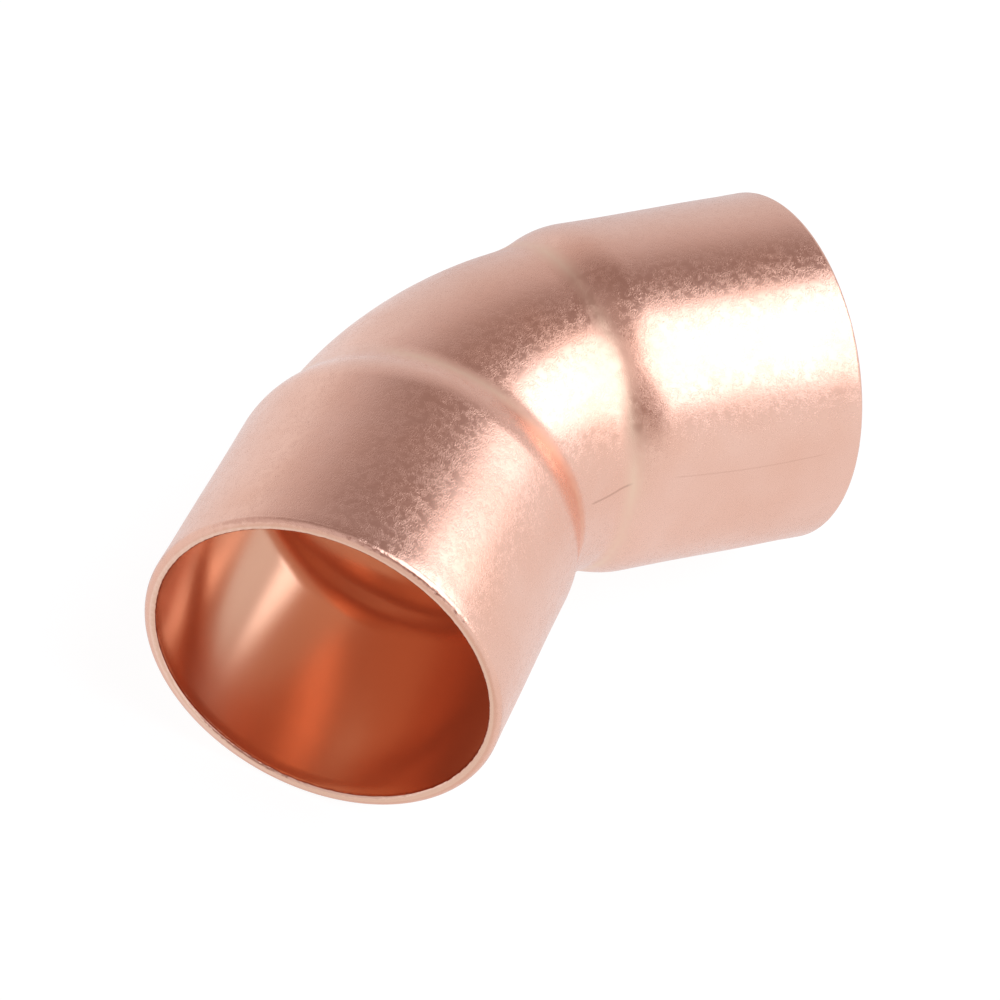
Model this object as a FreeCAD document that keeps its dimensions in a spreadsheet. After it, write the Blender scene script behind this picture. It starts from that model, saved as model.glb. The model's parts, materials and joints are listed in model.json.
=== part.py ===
"""Forty-five degree copper elbow with two solder sockets, all sizes in millimetres.

The elbow is formed from one length of tube, so its wall is the same all along.
The body tube has the same outside diameter as the tubes that are joined.
Each end is opened out into a socket with a straight bore.
Behind the bore the socket rounds over in a crown and slopes down on to the body tube.
The body tube is bent in one sweep that starts right behind the bore, under the crown.
The origin is the centre of the first socket's mouth, and its axis leaves the mouth along +X.
The bend lies in the XY plane and turns towards +Y.
"""
import FreeCAD, Part
import math
import os
import Sketcher

NODE = "elbow"

SIZES = [
    ("tube_diameter", 28.0, "outside diameter of the joined tubes and of the body tube"),
    ("solder_gap", 0.07, "gap all round between a joined tube and the bore of its socket"),
    ("socket_depth", 18.4, "straight part of a socket, from its mouth to its crown"),
    ("wall", 1.1, "thickness of the copper"),
    ("crown_radius", 7.5, "outside radius of the arc in which a socket rounds over"),
    ("shoulder_slope", 25.0, "angle in degrees of the cone behind the crown to the socket's axis"),
    ("bend_angle", 45.0, "turn from one socket to the other in degrees"),
    ("bend_radius", 30.5, "radius of the centre line of the bent body tube"),
    ("rim_bevel", 0.3, "bevel of the outer edge of a mouth"),
    ("mouth_chamfer", 0.15, "deburring of the inner edge of a mouth"),
]

START, END, CENTRE = range(1, 4)
ORIGIN = X_AXIS = -1
TOLERANCE = 1e-6
NORMAL = FreeCAD.Vector(0, 0, 1)


def point(x, y):
    """A point of a sketch."""
    return FreeCAD.Vector(x, y, 0)


def origin_plane(body, role):
    """The plane of the body's own origin that has this role."""
    return [plane for plane in body.Origin.OriginFeatures if plane.Role == role][0]


def add_sketch(body, name, role):
    """A sketch on one of the planes of the body's own origin."""
    sketch = body.newObject("Sketcher::SketchObject", name)
    sketch.AttachmentSupport = [(origin_plane(body, role), "")]
    sketch.MapMode = "FlatFace"
    return sketch


def add_line(sketch, start, end, construction=False):
    """A straight line between two points."""
    return sketch.addGeometry(Part.LineSegment(start, end), construction)


def add_arc(sketch, centre, radius, first_angle, last_angle):
    """An arc that runs anticlockwise from its first angle to its last."""
    circle = Part.Circle(centre, NORMAL, radius)
    return sketch.addGeometry(Part.ArcOfCircle(circle, first_angle, last_angle), False)


def join(sketch, kind, *ends):
    """A relation between the ends, centres or directions of what is drawn."""
    return sketch.addConstraint(Sketcher.Constraint(kind, *ends))


def measure(sketch, name, formula, kind, *ends):
    """A named dimension of a sketch, worked out from the sheet."""
    index = join(sketch, kind, *ends)
    sketch.renameConstraint(index, name)
    sketch.setExpression(f"Constraints.{name}", formula)


def mouth_edge(shape, radius):
    """The name of the circular edge of this radius in the plane of the first mouth."""
    for number, edge in enumerate(shape.Edges, start=1):
        curve = edge.Curve
        if not isinstance(curve, Part.Circle) or not edge.Closed:
            continue
        if curve.Center.Length < TOLERANCE and abs(curve.Radius - radius) < TOLERANCE:
            return f"Edge{number}"
    raise ValueError(f"no edge of radius {radius} at the mouth")


def socket_section(body, name, inset):
    """Half section of the first socket as a solid, drawn this far inside its outer skin.

    The inner and outer crowns share their centre, which keeps the wall even.
    The cone runs on until it lies half a wall inside the body tube.
    """
    depth = sheet.get("socket_depth")
    slope = math.radians(sheet.get("shoulder_slope"))
    inset_size = sheet.get("wall") if inset else 0
    radius = sheet.get("tube_diameter") / 2 + sheet.get("solder_gap") + sheet.get("wall")
    crown_radius = sheet.get("crown_radius") - inset_size
    crown_centre = point(-depth, radius - sheet.get("crown_radius"))
    crown_end = crown_centre + point(-math.sin(slope), math.cos(slope)) * crown_radius
    end_height = (sheet.get("tube_diameter") - sheet.get("wall")) / 2 - inset_size
    cone_end = point(crown_end.x - (crown_end.y - end_height) / math.tan(slope), end_height)

    sketch = add_sketch(body, name, "XY_Plane")
    mouth = add_line(sketch, point(0, 0), point(0, radius - inset_size))
    skin = add_line(sketch, point(0, radius - inset_size), point(-depth, radius - inset_size))
    crown = add_arc(sketch, crown_centre, crown_radius, math.pi / 2, math.pi / 2 + slope)
    cone = add_line(sketch, crown_end, cone_end)
    back = add_line(sketch, cone_end, point(cone_end.x, 0))
    axis = add_line(sketch, point(cone_end.x, 0), point(0, 0))

    join(sketch, "Coincident", mouth, START, ORIGIN, START)
    join(sketch, "Coincident", mouth, END, skin, START)
    join(sketch, "Tangent", skin, END, crown, START)
    join(sketch, "Tangent", crown, END, cone, START)
    join(sketch, "Coincident", cone, END, back, START)
    join(sketch, "Coincident", back, END, axis, START)
    join(sketch, "Coincident", axis, END, mouth, START)
    join(sketch, "Vertical", mouth)
    join(sketch, "Horizontal", skin)
    join(sketch, "Vertical", back)
    join(sketch, "Horizontal", axis)
    measure(sketch, "radius", f"{SOCKET_RADIUS} - {inset or 0}",
            "DistanceY", mouth, START, mouth, END, radius - inset_size)
    measure(sketch, "depth", "Sizes.socket_depth", "DistanceX", skin, END, skin, START, depth)
    measure(sketch, "crown", f"Sizes.crown_radius - {inset or 0}", "Radius", crown, crown_radius)
    measure(sketch, "slope", "Sizes.shoulder_slope * 1deg", "Angle", axis, START, cone, END, slope)
    measure(sketch, "cone_end", f"{TUBE_RADIUS} - Sizes.wall / 2 - {inset or 0}",
            "DistanceY", back, END, back, START, end_height)
    doc.recompute()
    return sketch


def bend_section(body, name, inset):
    """Round section of the body tube where it leaves the straight bore, with the line it swings about."""
    bend_radius = sheet.get("bend_radius")
    inset_size = sheet.get("wall") if inset else 0
    radius = sheet.get("tube_diameter") / 2 - inset_size
    sketch = add_sketch(body, name, "YZ_Plane")
    sketch.setExpression("AttachmentOffset.Base.z", "-Sizes.socket_depth")
    tube = sketch.addGeometry(Part.Circle(point(0, 0), NORMAL, radius), False)
    pivot = add_line(sketch, point(bend_radius, 0), point(bend_radius, radius), construction=True)
    join(sketch, "Coincident", tube, CENTRE, ORIGIN, START)
    join(sketch, "Vertical", pivot)
    join(sketch, "PointOnObject", pivot, START, X_AXIS)
    measure(sketch, "radius", f"{TUBE_RADIUS} - {inset or 0}", "Radius", tube, radius)
    measure(sketch, "bend_radius", "Sizes.bend_radius",
            "DistanceX", ORIGIN, START, pivot, START, bend_radius)
    measure(sketch, "pivot_height", f"{TUBE_RADIUS} - {inset or 0}",
            "DistanceY", pivot, START, pivot, END, radius)
    doc.recompute()
    return sketch


def turned(body, kind, name, sketch, axis):
    """A sketch turned about an axis, which adds a solid or cuts one away."""
    feature = body.newObject(kind, name)
    feature.Profile = sketch
    feature.ReferenceAxis = (sketch, [axis])
    return feature


doc = FreeCAD.newDocument("FortyFiveDegreeElbow")

sheet = doc.addObject("Spreadsheet::Sheet", "Sizes")
for row, (name, value, meaning) in enumerate(SIZES, start=1):
    sheet.set(f"A{row}", name)
    sheet.set(f"B{row}", str(value))
    sheet.set(f"C{row}", meaning)
    sheet.setAlias(f"B{row}", name)
doc.recompute()

TUBE_RADIUS = "Sizes.tube_diameter / 2"
SOCKET_RADIUS = f"{TUBE_RADIUS} + Sizes.solder_gap + Sizes.wall"
WALL = "Sizes.wall"
ADD = "PartDesign::Revolution"
CUT = "PartDesign::Groove"
HALF_BEND = "Sizes.bend_angle / 2"

body = doc.addObject("PartDesign::Body", "Elbow")
body.Label = NODE

# The outer skin of the first socket and of half the bend, solid at first.
socket = turned(body, ADD, "Socket", socket_section(body, "SocketSection", None), "H_Axis")
doc.recompute()

half_bend = turned(body, ADD, "HalfBend", bend_section(body, "BodySection", None), "Axis0")
half_bend.Reversed = True
half_bend.setExpression("Angle", HALF_BEND)
doc.recompute()

# The inner skin, one wall inside the outer one all along.
socket_bore = turned(body, CUT, "SocketBore", socket_section(body, "BoreSection", WALL), "H_Axis")
doc.recompute()

bend_bore = turned(body, CUT, "BendBore", bend_section(body, "BodyBoreSection", WALL), "Axis0")
bend_bore.Reversed = True
bend_bore.setExpression("Angle", HALF_BEND)
doc.recompute()

# The cut end of the tube: bevelled outside, deburred inside.
bore_radius = sheet.get("tube_diameter") / 2 + sheet.get("solder_gap")
rim = body.newObject("PartDesign::Chamfer", "Rim")
socket_radius = bore_radius + sheet.get("wall")
rim.Base = (bend_bore, [mouth_edge(bend_bore.Shape, socket_radius)])
rim.setExpression("Size", "Sizes.rim_bevel")
doc.recompute()

deburring = body.newObject("PartDesign::Chamfer", "Deburring")
deburring.Base = (rim, [mouth_edge(rim.Shape, bore_radius)])
deburring.setExpression("Size", "Sizes.mouth_chamfer")
doc.recompute()

# The other half, across the plane that halves the bend.
bisector = body.newObject("PartDesign::Plane", "Bisector")
bisector.AttachmentSupport = [(origin_plane(body, "YZ_Plane"), "")]
bisector.MapMode = "FlatFace"
bisector.AttachmentOffset = FreeCAD.Placement(
    FreeCAD.Vector(0, 0, 0),
    FreeCAD.Rotation(FreeCAD.Vector(0, 1, 0), -sheet.get("bend_angle") / 2),
)
bisector.setExpression("AttachmentOffset.Rotation.Angle", "-Sizes.bend_angle / 2")
bisector.setExpression(
    "AttachmentOffset.Base.z",
    "-(Sizes.socket_depth + Sizes.bend_radius * tan(Sizes.bend_angle * 1deg / 2))",
)
doc.recompute()

other_half = body.newObject("PartDesign::Mirrored", "OtherHalf")
other_half.TransformMode = "Whole shape"
other_half.MirrorPlane = (bisector, [""])
body.Tip = other_half
doc.recompute()

for item in doc.Objects:
    if "Invalid" in item.State or "Error" in item.State:
        raise RuntimeError(f"{item.Label} failed: {item.State}")
shape = body.Shape
if shape.isNull() or not shape.isValid() or len(shape.Solids) != 1:
    raise RuntimeError(f"{body.Label} isn't one valid solid")
if abs(shape.Volume - 2 * deburring.Shape.Volume) > TOLERANCE * shape.Volume:
    raise RuntimeError("the mirrored half doesn't meet the first one face to face")

os.makedirs("parts", exist_ok=True)
shape.exportStep(f"parts/{body.Label}.step")
print(f"volume {shape.Volume:.1f} cubic millimetres, area {shape.Area:.1f} square millimetres")
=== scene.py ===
"""Forty-five degree copper elbow in a small white studio.

The file is laid out as an add-on and is run as a script.
The elbow is one skin that follows the centre line of the bend, drawn by geometry nodes.
All lengths are in metres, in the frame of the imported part:
the origin is the centre of the first mouth, +X leaves that mouth and the bend turns towards +Y.
"""
import json
import math

import bpy
from bpy.props import FloatProperty, FloatVectorProperty, IntProperty, PointerProperty
from mathutils import Matrix, Vector


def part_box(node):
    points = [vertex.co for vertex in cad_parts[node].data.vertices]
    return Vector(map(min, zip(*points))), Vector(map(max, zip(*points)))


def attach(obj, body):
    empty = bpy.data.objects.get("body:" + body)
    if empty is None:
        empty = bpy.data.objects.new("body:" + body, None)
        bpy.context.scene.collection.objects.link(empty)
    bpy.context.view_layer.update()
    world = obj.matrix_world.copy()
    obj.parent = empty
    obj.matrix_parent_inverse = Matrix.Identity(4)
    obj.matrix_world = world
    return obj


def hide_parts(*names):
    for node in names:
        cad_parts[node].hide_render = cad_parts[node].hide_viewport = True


bl_info = {
    "name": "Forty-five degree copper elbow",
    "version": (1, 0, 0),
    "blender": (4, 5, 0),
    "location": "3D View > Sidebar > Elbow",
    "description": "Builds a copper elbow with two solder sockets and a small studio for it",
    "category": "Add Mesh",
}

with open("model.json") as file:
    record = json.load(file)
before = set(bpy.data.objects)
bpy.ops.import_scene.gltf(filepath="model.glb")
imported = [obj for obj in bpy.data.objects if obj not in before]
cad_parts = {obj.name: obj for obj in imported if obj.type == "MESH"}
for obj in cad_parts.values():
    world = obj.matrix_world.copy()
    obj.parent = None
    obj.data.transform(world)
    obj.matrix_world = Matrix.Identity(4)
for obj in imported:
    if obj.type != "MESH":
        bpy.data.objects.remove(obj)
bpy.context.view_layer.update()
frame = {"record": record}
SOCKET = frame["record"]["mounts"][0]["dims"]
MM = 0.001
NODE = "elbow"
BODY = "root"


class Wire:
    """One output of a node, with the operators that an expression needs."""

    def __init__(self, graph, socket):
        self.graph = graph
        self.socket = socket

    def maths(self, operation, *others, clamp=False):
        """This value and the others through one Math node."""
        inputs = dict(enumerate((self, *others)))
        return self.graph.wire("ShaderNodeMath", {"operation": operation, "use_clamp": clamp}, inputs)

    def flipped(self, operation, other):
        """The same with the other value first."""
        inputs = {0: other, 1: self}
        return self.graph.wire("ShaderNodeMath", {"operation": operation}, inputs)

    def __add__(self, other):
        return self.maths("ADD", other)

    def __radd__(self, other):
        return self.maths("ADD", other)

    def __sub__(self, other):
        return self.maths("SUBTRACT", other)

    def __rsub__(self, other):
        return self.flipped("SUBTRACT", other)

    def __mul__(self, other):
        return self.maths("MULTIPLY", other)

    def __rmul__(self, other):
        return self.maths("MULTIPLY", other)

    def __truediv__(self, other):
        return self.maths("DIVIDE", other)

    def __rtruediv__(self, other):
        return self.flipped("DIVIDE", other)

    def __neg__(self):
        return self.maths("MULTIPLY", -1.0)

    def __abs__(self):
        return self.maths("ABSOLUTE")

    def sine(self):
        return self.maths("SINE")

    def cosine(self):
        return self.maths("COSINE")

    def tangent(self):
        return self.maths("TANGENT")

    def root(self):
        return self.maths("SQRT")

    def least(self, other):
        return self.maths("MINIMUM", other)

    def most(self, other):
        return self.maths("MAXIMUM", other)

    def above(self, other):
        """1 where this is greater than the other, else 0."""
        return self.maths("GREATER_THAN", other)

    def span(self, low, high, first=0.0, last=1.0, smooth=False):
        """This value carried from one range to another and held at the ends."""
        settings = {"interpolation_type": "SMOOTHSTEP" if smooth else "LINEAR", "clamp": True}
        inputs = {"Value": self, "From Min": low, "From Max": high, "To Min": first, "To Max": last}
        return self.graph.wire("ShaderNodeMapRange", settings, inputs)


class Graph:
    """A node tree in which every node is added by one method."""

    def __init__(self, tree):
        self.tree = tree

    def node(self, kind, settings=None, inputs=None):
        """A node of this type, with its settings set before its sockets."""
        node = self.tree.nodes.new(kind)
        for name, value in (settings or {}).items():
            setattr(node, name, value)
        for key, value in (inputs or {}).items():
            if isinstance(value, Wire):
                self.tree.links.new(value.socket, node.inputs[key])
            else:
                node.inputs[key].default_value = value
        return node

    def wire(self, kind, settings=None, inputs=None, output=0):
        """One output of a new node."""
        return Wire(self, self.node(kind, settings, inputs).outputs[output])

    def vector(self, x, y, z):
        return self.wire("ShaderNodeCombineXYZ", None, {"X": x, "Y": y, "Z": z})

    def parts(self, vector):
        """The three parts of a vector."""
        node = self.node("ShaderNodeSeparateXYZ", None, {0: vector})
        return [Wire(self, socket) for socket in node.outputs]

    def vectors(self, operation, *values, output=0):
        """Vectors through one Vector Math node."""
        return self.wire("ShaderNodeVectorMath", {"operation": operation}, dict(enumerate(values)), output)

    def dot(self, first, second):
        return self.vectors("DOT_PRODUCT", first, second, output="Value")

    def blend(self, factor, first, second):
        """A colour between two colours."""
        settings = {"data_type": "RGBA", "clamp_factor": True}
        node = self.node("ShaderNodeMix", settings, {0: factor, 6: first, 7: second})
        return Wire(self, node.outputs[2])

    def noise(self, place, scale, detail, seed):
        """Noise round 0.5, moved away from the origin by a seed that chooses it."""
        moved = self.vectors("ADD", place, (seed * 0.1, seed * 0.07, seed * -0.13))
        return self.wire("ShaderNodeTexNoise", None, {"Vector": moved, "Scale": scale, "Detail": detail})


class ElbowSizes(bpy.types.PropertyGroup):
    """The sizes of the elbow."""

    tube_diameter: FloatProperty(
        name="Tube diameter",
        description="Outside diameter of the joined tubes and of the body tube",
        default=28.0 * MM,
        unit="LENGTH",
    )
    bore_radius: FloatProperty(
        name="Bore radius",
        description="Radius of the straight bore of a socket",
        default=SOCKET["r_mm"] * MM,
        unit="LENGTH",
    )
    socket_depth: FloatProperty(
        name="Socket depth",
        description="Straight part of a socket, from its mouth to its crown",
        default=SOCKET["length_mm"] * MM,
        unit="LENGTH",
    )
    wall: FloatProperty(
        name="Wall",
        description="Thickness of the copper once it is brushed",
        default=1.09 * MM,
        unit="LENGTH",
    )
    crown_radius: FloatProperty(
        name="Crown radius",
        description="Outside radius of the arc in which a socket rounds over",
        default=7.5 * MM,
        unit="LENGTH",
    )
    shoulder_slope: FloatProperty(
        name="Shoulder slope",
        description="Angle of the cone behind the crown to the axis of the socket",
        default=math.radians(25),
        subtype="ANGLE",
    )
    root_radius: FloatProperty(
        name="Root radius",
        description="Outside radius of the hollow between the cone and the body tube",
        default=7.0 * MM,
        unit="LENGTH",
    )
    bend_angle: FloatProperty(
        name="Bend angle",
        description="Turn from one socket to the other",
        default=math.radians(45),
        subtype="ANGLE",
    )
    bend_radius: FloatProperty(
        name="Bend radius",
        description="Radius of the centre line of the bent body tube",
        default=30.5 * MM,
        unit="LENGTH",
    )
    rim_rounding: FloatProperty(
        name="Rim rounding",
        description="Rounding of the outer edge of a mouth",
        default=0.6 * MM,
        unit="LENGTH",
    )
    mouth_rounding: FloatProperty(
        name="Mouth rounding",
        description="Rounding of the inner edge of a mouth",
        default=0.4 * MM,
        unit="LENGTH",
    )
    waviness: FloatProperty(
        name="Waviness",
        description="Depth of the shallow dents and waves that forming leaves in the skin",
        default=0.09 * MM,
        unit="LENGTH",
    )
    around: IntProperty(
        name="Faces around",
        description="Faces round the tube",
        default=224,
    )
    along: IntProperty(
        name="Faces along",
        description="Faces along the tube from mouth to mouth",
        default=160,
    )


class CopperFinish(bpy.types.PropertyGroup):
    """The look of the copper."""

    colour: FloatVectorProperty(
        name="Colour",
        description="Colour of clean copper",
        default=(0.93, 0.57, 0.45),
        subtype="COLOR",
        size=3,
    )
    worn_colour: FloatVectorProperty(
        name="Worn colour",
        description="Colour where the copper has dulled a little",
        default=(0.86, 0.47, 0.34),
        subtype="COLOR",
        size=3,
    )
    # Painted shade: this darker colour over the bore stands in for the shade deep inside it, not a darker
    # copper.
    bore_shade_colour: FloatVectorProperty(
        name="Inner colour",
        description="Colour of the darker skin in the bore",
        default=(0.71, 0.40, 0.27),
        subtype="COLOR",
        size=3,
    )
    # Partly painted highlight: the rim is lighter as fresh-cut copper, and this colour also stands in for
    # the bright glints along the rim.
    cut_and_glint_colour: FloatVectorProperty(
        name="Cut colour",
        description="Colour of the fresh cut at the mouths",
        default=(0.98, 0.65, 0.51),
        subtype="COLOR",
        size=3,
    )
    inner_glow: FloatVectorProperty(
        name="Inner glow",
        description="Light that is left deep in the bore after many reflections",
        default=(0.06, 0.014, 0.006),
        subtype="COLOR",
        size=3,
    )
    # Painted reflection: the paler tone in the hollows behind the crowns stands in for the pale reflection
    # there and damps their orange inter-reflection; the copper is the same there.
    hollow_reflection_colour: FloatVectorProperty(
        name="Hollow colour",
        description="Colour in the hollows behind the crowns, which the brush doesn't reach",
        default=(0.93, 0.63, 0.47),
        subtype="COLOR",
        size=3,
    )
    outer_roughness: FloatProperty(
        name="Outer roughness",
        description="Roughness of the satin outside",
        default=0.2,
        subtype="FACTOR",
    )
    inner_roughness: FloatProperty(
        name="Inner roughness",
        description="Roughness of the bore",
        default=0.19,
        subtype="FACTOR",
    )
    scratch_depth: FloatProperty(
        name="Scratch depth",
        description="Depth of the fine scratches",
        default=0.005 * MM,
        unit="LENGTH",
    )


class StudioSettings(bpy.types.PropertyGroup):
    """The light, the ground and the camera."""

    softbox_strength: FloatProperty(
        name="Softbox strength",
        description="Brightness of the large softbox, where 1 is white paper",
        default=2.4,
    )
    ground_size: FloatProperty(
        name="Ground size",
        description="Width of the white ground",
        default=3.0,
        unit="LENGTH",
    )
    lens: FloatProperty(
        name="Lens",
        description="Focal length of the camera",
        default=154.25,
        unit="CAMERA",
    )


# The rows of faces along the skin lie closest on the shoulder, between these shares of half the length.
STRAIGHT_SHARE = 0.2
SHOULDER_SHARE = 0.76
SHOULDER_LEAD = 0.6 * MM
SHOULDER_LENGTH = 6.6 * MM

# The rows over a mouth: this share rounds its outer edge, and its flat ends at the second share.
OUTER_SHARE = 0.45
FLAT_SHARE = 0.7
RIM_ROWS = 20

# The dents fade in behind the mouth, and the socket flares a little towards it.
DENTS_START = 3.0 * MM
FLARE = 0.12 * MM
FLARE_FROM = 4.0 * MM
FLARE_TO = 16.0 * MM

# How much wider the hollow gets on the inside of the bend, where the cone meets the tube at a slant.
HOLLOW_SPREAD = 0.7


class ElbowShape:
    """The skin of the elbow as fields over a grid, for one socket and half the bend, then reflected."""

    def __init__(self, graph, sizes):
        self.graph = graph
        self.sizes = sizes
        half_angle = sizes["Bend angle"] / 2
        self.half_length = sizes["Socket depth"] + sizes["Bend radius"] * half_angle
        self.socket_radius = sizes["Bore radius"] + sizes["Wall"]
        self.cosine = half_angle.cosine()
        self.sine = half_angle.sine()

    def stations(self, share):
        """Distance from the nearer mouth, from a share of 0 at one mouth to 1 at the other."""
        half_share = 1 - abs(share * 2 - 1)
        depth = self.sizes["Socket depth"]
        rim = self.sizes["Rim rounding"]
        shoulder_start = depth - SHOULDER_LEAD
        shoulder_end = shoulder_start + SHOULDER_LENGTH
        straight = half_share.span(0.0, STRAIGHT_SHARE, rim, shoulder_start)
        shoulder = half_share.span(STRAIGHT_SHARE, SHOULDER_SHARE, 0.0, SHOULDER_LENGTH)
        bend = half_share.span(SHOULDER_SHARE, 1.0) * (self.half_length - shoulder_end)
        return straight + shoulder + bend

    def radius(self, station, turn_cosine, turn_sine, inner):
        """Distance of the skin from the centre line and depth in the hollow, at a station and an angle.

        The socket's profile turns about the socket's own axis, but the station lies on the bent centre
        line, so the distance is found in a few steps. It then joins the tube in a rounded hollow.
        """
        sizes = self.sizes
        depth = sizes["Socket depth"]
        inset = sizes["Wall"] if inner else 0.0
        tube = sizes["Tube diameter"] / 2 - inset
        crown = sizes["Crown radius"] - inset
        centre_height = self.socket_radius - sizes["Crown radius"]
        slope = sizes["Shoulder slope"]
        arc_length = crown * slope.sine()
        arc_end_height = centre_height + crown * slope.cosine()
        swing = (station - depth).most(0.0) / sizes["Bend radius"]
        centre_x = -station.least(depth) - sizes["Bend radius"] * swing.sine()
        centre_y = sizes["Bend radius"] * (1 - swing.cosine())
        radius = tube
        for _ in range(4):
            x = centre_x + radius * swing.sine() * turn_cosine
            y = centre_y + radius * swing.cosine() * turn_cosine
            z = radius * turn_sine
            past_bore = (-x - depth).most(0.0)
            on_arc = past_bore.least(arc_length)
            arc_height = centre_height + (crown * crown - on_arc * on_arc).root()
            cone_height = arc_end_height - (past_bore - arc_length) * slope.tangent()
            on_cone = past_bore.above(arc_length)
            height = arc_height + (cone_height - arc_height) * on_cone
            radius = radius + height - (y * y + z * z).root()
        width = (sizes["Root radius"] + inset) * (slope * slope) * 0.5
        width = width * (1 + turn_cosine.most(0.0) * HOLLOW_SPREAD)
        overlap = (width - abs(radius - tube)).most(0.0)
        joined = radius.most(tube) + overlap * overlap / (width * 4)
        # The straight part of the socket has no hollow, so the hollow starts just behind it.
        behind = station.above(depth + crown * 0.02)
        return radius + (joined - radius) * behind, overlap / width * behind

    def place(self, station, turn, radius, far_half):
        """The point of the skin, on the far side of the middle of the bend if far_half is 1."""
        graph = self.graph
        sizes = self.sizes
        depth = sizes["Socket depth"]
        bend_radius = sizes["Bend radius"]
        swing = (station - depth).most(0.0) / bend_radius
        reach = radius * turn.cosine()
        x = -station.least(depth) - bend_radius * swing.sine() + reach * swing.sine()
        y = bend_radius * (1 - swing.cosine()) + reach * swing.cosine()
        z = radius * turn.sine()
        past_x = x + depth + bend_radius * self.sine
        past_y = y - bend_radius * (1 - self.cosine)
        past = (past_y * self.sine - past_x * self.cosine) * 2 * far_half
        return graph.vector(x + past * self.cosine, y - past * self.sine, z)


def elbow_tree():
    """Geometry nodes that draw the whole skin of the elbow from its sizes."""
    tree = bpy.data.node_groups.new("ElbowSkin", "GeometryNodeTree")
    for key in ElbowSizes.__annotations__:
        size = ElbowSizes.bl_rna.properties[key]
        kind = "NodeSocketInt" if size.type == "INT" else "NodeSocketFloat"
        tree.interface.new_socket(name=size.name, in_out="INPUT", socket_type=kind)
    tree.interface.new_socket(name="Material", in_out="INPUT", socket_type="NodeSocketMaterial")
    tree.interface.new_socket(name="Skin", in_out="OUTPUT", socket_type="NodeSocketGeometry")
    graph = Graph(tree)
    group_input = graph.node("NodeGroupInput")
    sizes = {socket.name: Wire(graph, socket) for socket in group_input.outputs if socket.name}
    shape = ElbowShape(graph, sizes)

    def patch(points_along, rule):
        """A grid laid on the skin by a rule that takes its share along and its angle round."""
        inputs = {
            "Size X": 1.0,
            "Size Y": 1.0,
            "Vertices X": points_along,
            "Vertices Y": sizes["Faces around"] + 1,
        }
        grid = graph.wire("GeometryNodeMeshGrid", None, inputs, "Mesh")
        across, around, _ = graph.parts(graph.wire("GeometryNodeInputPosition"))
        along = across.maths("ADD", 0.5, clamp=True)
        place, inside, hollow = rule(along, (around + 0.5) * math.tau)
        for name, value in (("inside", inside), ("hollow", hollow)):
            grid = graph.wire(
                "GeometryNodeStoreNamedAttribute",
                {"data_type": "FLOAT", "domain": "POINT"},
                {"Geometry": grid, "Name": name, "Value": value},
            )
        return graph.wire("GeometryNodeSetPosition", None, {"Geometry": grid, "Position": place})

    def wave(place):
        """Shallow dents, always inwards from the true skin."""
        broad = graph.noise(place, 90.0, detail=1.0, seed=3.0)
        fine = graph.noise(place, 260.0, detail=1.0, seed=8.0)
        return (broad * 0.75 + fine * 0.25) * sizes["Waviness"]

    def outer_skin(along, turn):
        """The rule for the outside, from mouth to mouth."""
        far_half = along.above(0.5)
        station = shape.stations(along)
        radius, hollow = shape.radius(station, turn.cosine(), turn.sine(), inner=False)
        ideal = shape.place(station, turn, radius, far_half)
        kept = station.span(sizes["Rim rounding"], DENTS_START, smooth=True)
        sunk = wave(ideal) * kept + station.span(FLARE_FROM, FLARE_TO, 0.0, FLARE, smooth=True)
        return shape.place(station, turn, radius - sunk, far_half), 0.0, hollow

    def inner_skin(along, turn):
        """The rule for the inside, one wall further in."""
        far_half = along.above(0.5)
        station = shape.stations(along)
        station = station - sizes["Rim rounding"] + sizes["Mouth rounding"]
        radius, _ = shape.radius(station, turn.cosine(), turn.sine(), inner=True)
        ideal = shape.place(station, turn, radius, far_half)
        kept = station.span(sizes["Mouth rounding"], DENTS_START, smooth=True)
        return shape.place(station, turn, radius + wave(ideal) * kept * 0.5, far_half), 1.0, 0.0

    def rim(far_half):
        """The rule for one mouth, from the outer skin over both its edges to the inner skin."""
        def rule(along, turn):
            outer = sizes["Rim rounding"]
            inner = sizes["Mouth rounding"]
            first = along.span(0.0, OUTER_SHARE, 0.0, math.pi / 2)
            second = along.span(FLAT_SHARE, 1.0, 0.0, math.pi / 2)
            flat = sizes["Wall"] - outer - inner
            station = outer * (1 - first.sine()) + inner * (1 - second.cosine())
            radius = shape.socket_radius - outer * (1 - first.cosine())
            radius = radius - flat * along.span(OUTER_SHARE, FLAT_SHARE) - inner * second.sine()
            return shape.place(station, turn, radius, far_half), along, 0.0
        return rule

    flipped = [
        patch(sizes["Faces along"] + 1, inner_skin),
        patch(RIM_ROWS + 1, rim(0.0)),
    ]
    kept = [
        patch(sizes["Faces along"] + 1, outer_skin),
        patch(RIM_ROWS + 1, rim(1.0)),
    ]
    join = graph.node("GeometryNodeJoinGeometry")
    for mesh in flipped:
        turned = graph.wire("GeometryNodeFlipFaces", None, {"Mesh": mesh})
        tree.links.new(turned.socket, join.inputs[0])
    for mesh in kept:
        tree.links.new(mesh.socket, join.inputs[0])
    skin = Wire(graph, join.outputs[0])
    skin = graph.wire("GeometryNodeMergeByDistance", None, {"Geometry": skin, "Distance": 0.002 * MM})
    skin = graph.wire("GeometryNodeSetShadeSmooth", {"domain": "FACE"}, {"Geometry": skin})
    skin = graph.wire("GeometryNodeRealizeInstances", None, {"Geometry": skin})
    skin = graph.wire(
        "GeometryNodeSetMaterial", None, {"Geometry": skin, "Material": sizes["Material"]}
    )
    graph.node("NodeGroupOutput", None, {"Skin": skin})
    return tree


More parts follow.
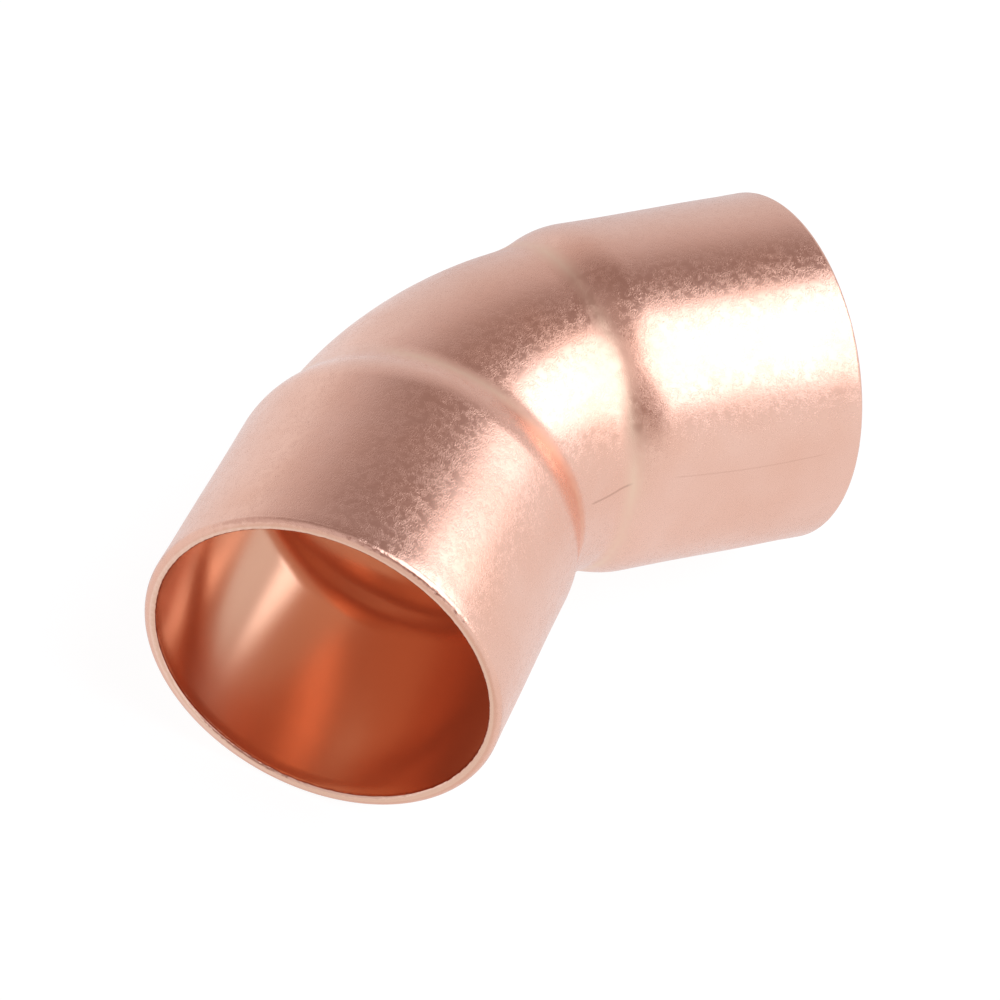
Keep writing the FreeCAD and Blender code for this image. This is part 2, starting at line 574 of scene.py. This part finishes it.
def plain_mesh(name, tree, values):
    """The result of a tree as a mesh object with no modifier."""
    holder = bpy.data.objects.new(name + "Holder", bpy.data.meshes.new(name + "Holder"))
    bpy.context.scene.collection.objects.link(holder)
    modifier = holder.modifiers.new("Skin", "NODES")
    modifier.node_group = tree
    for item in tree.interface.items_tree:
        if item.in_out == "INPUT":
            modifier[item.identifier] = values[item.name]
    depsgraph = bpy.context.evaluated_depsgraph_get()
    mesh = bpy.data.meshes.new_from_object(holder.evaluated_get(depsgraph))
    mesh.name = name
    holder.modifiers.remove(modifier)
    bpy.data.objects.remove(holder)
    piece = bpy.data.objects.new(name, mesh)
    bpy.context.scene.collection.objects.link(piece)
    return piece


# The two long dark lines on the outside: the first is a faint scratch along the second socket, the second is
# painted shade in the crease through the crotch of the bend.
# Where each starts and ends, its width, all in millimetres, and its strength.
SCRATCH_AND_CREASE_SHADE = (
    ((-30.0, 18.9, 5.3), (-40.3, 29.6, 4.9), 0.10, 0.4),
    ((-23.6, 13.9, 5.0), (-28.0, 16.1, 4.9), 0.16, 1.0),
)
LINE_BOW = 0.3 * MM
LINE_FADE = 0.6 * MM
SCRATCH_AND_CREASE_SHADE_COLOUR = (0.40, 0.20, 0.14, 1.0)


def dark_line(graph, place, start, end, width):
    """1 along the middle of a line that runs over the skin from one point to another, and 0 beside it."""
    start = Vector(start) * MM
    end = Vector(end) * MM
    length = (end - start).length
    course = (end - start).normalized()
    # The lines are on the inside of the bend, where the skin faces this way.
    outwards = Vector((course.y, -course.x, 0.35))
    aside = course.cross(outwards).normalized()
    travel = graph.dot(place, tuple(course)) - course.dot(start)
    bow = (travel * (math.pi / length)).sine() * LINE_BOW
    distance = abs(graph.dot(place, tuple(aside)) - aside.dot(start) - bow)
    within = travel.span(0.0, LINE_FADE) * travel.span(length - LINE_FADE, length, 1.0, 0.0)
    facing = (graph.dot(place, tuple(outwards)) - outwards.dot(start)).span(-2.0 * MM, -1.0 * MM)
    return distance.span(0.0, width, 1.0, 0.0) * within * facing


# How fine the patterns on the copper are, in repeats per metre.
MOTTLE = 150.0
CLOUD = 55.0
SCRATCHES = 2400.0
CLUMPS = 1400.0

# How much deeper the unevenness of the cut is than a scratch.
CUT_DEPTH = 18.0


def opaque(colour):
    """A colour with its fourth part."""
    return (*colour, 1.0)


def scratch_layer(graph, place, seed, turn):
    """Short fine scratches that mostly run one way, and the clumps that they lie in."""
    turned = graph.wire(
        "ShaderNodeMapping",
        None,
        {"Vector": place, "Rotation": (turn * 0.7, turn * 1.3, turn), "Scale": (1.0, 3.0, 3.0)},
    )
    line = abs(graph.noise(turned, SCRATCHES, detail=1.0, seed=seed) - 0.5).span(0.0, 0.09, 1.0, 0.0)
    clumps = graph.noise(place, CLUMPS, detail=1.0, seed=seed + 2.0)
    return line * clumps.span(0.40, 0.58), clumps


def copper_material(finish):
    """Satin copper with fine scratches outside and a smooth bore."""
    material = bpy.data.materials.new("SatinCopper")
    material.use_nodes = True
    material.node_tree.nodes.clear()
    graph = Graph(material.node_tree)
    place = graph.wire("ShaderNodeTexCoord", output="Object")
    inside = graph.wire("ShaderNodeAttribute", {"attribute_name": "inside"}, output="Fac")
    hollow = graph.wire("ShaderNodeAttribute", {"attribute_name": "hollow"}, output="Fac")
    outside = 1 - inside
    scratch_and_crease_shade = 0.0
    for start, end, width, strength in SCRATCH_AND_CREASE_SHADE:
        scratch_and_crease_shade = dark_line(graph, place, start, end, width * MM) * strength + scratch_and_crease_shade
    scratch_and_crease_shade = scratch_and_crease_shade * outside
    mottle = graph.noise(place, MOTTLE, detail=3.0, seed=1.0)
    cloud = graph.noise(place, CLOUD, detail=1.0, seed=5.0)
    dulled = (mottle * 0.5 + cloud * 0.5).span(0.38, 0.68)
    first_layer, _ = scratch_layer(graph, place, seed=11.0, turn=0.4)
    second_layer, clumps = scratch_layer(graph, place, seed=17.0, turn=1.9)
    scratches = first_layer.most(second_layer) * outside

    colour = graph.blend(dulled * 0.75, opaque(finish.colour), opaque(finish.worn_colour))
    # Painted reflection: the hollows behind the crowns are made paler, standing in for the pale reflection
    # there.
    colour = graph.blend(hollow * hollow * mottle.span(0.3, 0.6), colour, opaque(finish.hollow_reflection_colour))
    # Painted shade: the crease line darkens the crotch of the bend; the faint line along the second socket
    # is a scratch.
    colour = graph.blend(scratch_and_crease_shade * 0.5, colour, SCRATCH_AND_CREASE_SHADE_COLOUR)
    # Painted shade: the bore takes the darker colour, which stands in for its shade.
    colour = graph.blend(inside.span(0.85, 1.0), colour, opaque(finish.bore_shade_colour))
    # The lighter rim colour is partly the fresh cut and partly a painted highlight for the glints along the
    # rim.
    cut = inside.span(0.4, 0.5) * inside.span(0.8, 0.98, 1.0, 0.0)
    colour = graph.blend(cut, colour, opaque(finish.cut_and_glint_colour))
    glow = graph.blend(inside.span(0.98, 1.0), (0.0, 0.0, 0.0, 1.0), opaque(finish.inner_glow))
    roughness = finish.outer_roughness + (finish.inner_roughness - finish.outer_roughness) * inside
    roughness = roughness + dulled * 0.05 + scratches * 0.1 + hollow * 0.1

    # The cut at a mouth is a little uneven, which breaks up its glints.
    rim = inside.span(0.0, 0.2) * inside.span(0.9, 1.0, 1.0, 0.0)
    height = clumps * rim * CUT_DEPTH - scratches
    bumped = graph.wire(
        "ShaderNodeBump",
        None,
        {"Strength": 1.0, "Distance": finish.scratch_depth, "Height": height},
    )
    shader = graph.wire(
        "ShaderNodeBsdfPrincipled",
        None,
        {
            "Base Color": colour,
            "Metallic": 1.0,
            "Roughness": roughness,
            "Normal": bumped,
            "Emission Color": glow,
            "Emission Strength": 1.0,
        },
    )
    graph.node("ShaderNodeOutputMaterial", None, {"Surface": shader})
    # The glow is too weak to light anything else.
    material.cycles.emission_sampling = "NONE"
    return material


# What the copper mirrors from each side, as shares of white paper.
TABLE = (0.90, 0.94, 0.98, 1.0)
FAR_TABLE = (0.72, 0.73, 0.76, 1.0)
FRONT_TABLE = (0.74, 0.71, 0.68, 1.0)
WALLS = (0.66, 0.62, 0.64, 1.0)
CEILING = (0.31, 0.24, 0.23, 1.0)
DARK_FRONT = (0.28, 0.18, 0.16, 1.0)
WHITE = (1.0, 1.0, 1.0, 1.0)
PAPER = (0.86, 0.86, 0.86, 1.0)


def table_colour(graph, direction):
    """The table as the copper mirrors it, greyer at the far side and in front."""
    across = graph.parts(direction)[0]
    colour = graph.blend(across.span(-0.9, -0.65, smooth=True), FAR_TABLE, TABLE)
    return graph.blend(across.span(0.8, 0.95, smooth=True), colour, FRONT_TABLE)


def ground_material(middle):
    """White paper that reads as white and still keeps a soft shadow."""
    material = bpy.data.materials.new("WhitePaper")
    material.use_nodes = True
    material.node_tree.nodes.clear()
    graph = Graph(material.node_tree)
    rays = graph.node("ShaderNodeLightPath")
    kinds = ("Is Camera Ray", "Is Glossy Ray", "Is Transmission Ray")
    camera, glossy, transmission = [Wire(graph, rays.outputs[kind]) for kind in kinds]
    place = graph.wire("ShaderNodeTexCoord", output="Object")
    sheet = graph.wire("ShaderNodeBsdfDiffuse", None, {"Color": PAPER})
    white = graph.wire("ShaderNodeEmission", None, {"Color": WHITE, "Strength": 1.1})
    pictured = graph.wire("ShaderNodeMixShader", None, {0: 0.84, 1: sheet, 2: white})
    away = graph.vectors("NORMALIZE", graph.vectors("SUBTRACT", place, tuple(middle)))
    glow = graph.wire("ShaderNodeEmission", None, {"Color": table_colour(graph, away), "Strength": 1.0})
    mirrored = graph.wire("ShaderNodeMixShader", None, {0: 0.8, 1: sheet, 2: glow})
    lit = graph.wire("ShaderNodeMixShader", None, {0: glossy.most(transmission), 1: sheet, 2: mirrored})
    surface = graph.wire("ShaderNodeMixShader", None, {0: camera, 1: lit, 2: pictured})
    graph.node("ShaderNodeOutputMaterial", None, {"Surface": surface})
    # Only the camera and the rays that the copper mirrors see its brightness.
    material.cycles.emission_sampling = "NONE"
    return material


# Directions from the elbow to the corners of the large softbox, in order round it.
SOFTBOX = (
    (0.02, 0.09, 0.99),
    (-0.44, 0.20, 0.87),
    (-0.70, 0.38, 0.60),
    (-0.70, 0.64, 0.31),
    (0.15, 0.89, 0.43),
    (0.33, 0.45, 0.83),
    (0.34, 0.22, 0.91),
)

# How soft its edge looks, and the colour of its light against white.
SOFTBOX_BLUR = 0.05
DAYLIGHT = (0.96, 1.02, 1.10)

# Directions to the middle of the two dark patches in front of the elbow.
FRONT = (0.80, 0.40, 0.45)
ABOVE_FRONT = (0.38, 0.12, 0.92)


def panel_mask(graph, direction, corners, blur):
    """1 inside the outline that joins the corners as seen from the elbow, and 0 outside it."""
    middle = sum((Vector(corner) for corner in corners), Vector())
    mask = None
    for first, second in zip(corners, corners[1:] + corners[:1]):
        normal = Vector(first).cross(Vector(second)).normalized()
        if normal.dot(middle) < 0:
            normal.negate()
        side = graph.dot(direction, tuple(normal)).span(-blur, blur, smooth=True)
        mask = side if mask is None else mask * side
    return mask


def studio_world(settings):
    """White to the camera, and to everything else a room with a dark ceiling and a large softbox."""
    world = bpy.data.worlds.new("Studio")
    world.use_nodes = True
    world.node_tree.nodes.clear()
    graph = Graph(world.node_tree)
    direction = graph.wire("ShaderNodeTexCoord", output="Generated")
    across, side, rise = graph.parts(direction)
    ceiling = rise.span(0.32, 0.74, smooth=True) * across.span(-0.35, 0.35, 1.0, 0.0)
    colour = graph.blend(ceiling, WALLS, CEILING)
    front = graph.dot(direction, FRONT).span(0.84, 0.97, smooth=True)
    front = front.most(graph.dot(direction, ABOVE_FRONT).span(0.92, 0.98, smooth=True))
    colour = graph.blend(front, colour, DARK_FRONT)
    raised = rise - side * 0.15 - across * side * 0.12
    horizon = raised.span(0.12, 0.34, 1.0, 0.0, smooth=True)
    colour = graph.blend(horizon, colour, table_colour(graph, direction))
    softbox = panel_mask(graph, direction, SOFTBOX, SOFTBOX_BLUR)
    colour = graph.blend(softbox, colour, opaque(settings.softbox_strength * part for part in DAYLIGHT))
    camera = graph.wire("ShaderNodeLightPath", output="Is Camera Ray")
    colour = graph.blend(camera, colour, WHITE)
    shader = graph.wire("ShaderNodeBackground", None, {"Color": colour, "Strength": 1.0})
    graph.node("ShaderNodeOutputWorld", None, {"Surface": shader})
    return world


class ELBOW_OT_make_elbow(bpy.types.Operator):
    """Build the copper elbow and let it stand for its solid"""

    bl_idname = "elbow.make_elbow"
    bl_label = "Make elbow"

    def execute(self, context):
        sizes = context.scene.elbow_sizes
        material = copper_material(context.scene.copper_finish)
        values = {"Material": material}
        for key in ElbowSizes.__annotations__:
            values[ElbowSizes.bl_rna.properties[key].name] = getattr(sizes, key)
        piece = plain_mesh("CopperElbow", elbow_tree(), values)
        if len(piece.data.polygons) < sizes.around * sizes.along:
            raise RuntimeError("the skin of the elbow came out with too few faces")
        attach(piece, BODY)
        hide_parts(NODE)
        return {"FINISHED"}


class ELBOW_OT_make_studio(bpy.types.Operator):
    """Lay the ground, set the light and place the camera"""

    bl_idname = "elbow.make_studio"
    bl_label = "Make studio"

    def execute(self, context):
        scene = context.scene
        settings = scene.studio_settings
        low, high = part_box(NODE)
        half = settings.ground_size / 2
        corners = [(x, y, low.z) for x, y in ((-half, -half), (half, -half), (half, half), (-half, half))]
        mesh = bpy.data.meshes.new("Ground")
        mesh.from_pydata(corners, [], [(0, 1, 2, 3)])
        mesh.materials.append(ground_material((low + high) / 2))
        ground = bpy.data.objects.new("Ground", mesh)
        scene.collection.objects.link(ground)

        scene.world = studio_world(settings)
        scene.view_settings.view_transform = "Standard"

        lens = bpy.data.cameras.new("Camera")
        lens.lens = settings.lens
        lens.sensor_width = 36.0
        lens.clip_start = 0.01
        lens.clip_end = 10.0
        camera = bpy.data.objects.new("Camera", lens)
        scene.collection.objects.link(camera)
        camera.matrix_world = camera_matrix()
        scene.camera = camera
        return {"FINISHED"}


def camera_matrix():
    """Place and turn of the camera, which leans over to one side as it looks down on the elbow."""
    right = Vector((-0.33547846, 0.91270957, 0.23327118))
    up = Vector((-0.63911095, -0.40242902, 0.65542968))
    back = Vector((0.69209204, 0.07079637, 0.71832895))
    turn = Matrix((right, up, back)).transposed().to_4x4()
    return Matrix.Translation(Vector((220.640, 31.583, 254.717)) * MM) @ turn


class ELBOW_PT_panel(bpy.types.Panel):
    """The sizes, the finish and the studio in the sidebar"""

    bl_idname = "ELBOW_PT_panel"
    bl_label = "Elbow"
    bl_space_type = "VIEW_3D"
    bl_region_type = "UI"
    bl_category = "Elbow"

    def draw(self, context):
        layout = self.layout
        for group in (context.scene.elbow_sizes, context.scene.copper_finish, context.scene.studio_settings):
            box = layout.box()
            for name in group.__annotations__:
                box.prop(group, name)
        layout.operator(ELBOW_OT_make_elbow.bl_idname)
        layout.operator(ELBOW_OT_make_studio.bl_idname)


CLASSES = (
    ElbowSizes,
    CopperFinish,
    StudioSettings,
    ELBOW_OT_make_elbow,
    ELBOW_OT_make_studio,
    ELBOW_PT_panel,
)


def register():
    for item in CLASSES:
        bpy.utils.register_class(item)
    bpy.types.Scene.elbow_sizes = PointerProperty(type=ElbowSizes)
    bpy.types.Scene.copper_finish = PointerProperty(type=CopperFinish)
    bpy.types.Scene.studio_settings = PointerProperty(type=StudioSettings)


def unregister():
    del bpy.types.Scene.studio_settings
    del bpy.types.Scene.copper_finish
    del bpy.types.Scene.elbow_sizes
    for item in reversed(CLASSES):
        bpy.utils.unregister_class(item)


def main():
    register()
    bpy.ops.elbow.make_elbow()
    bpy.ops.elbow.make_studio()


if __name__ == "__main__":
    main()
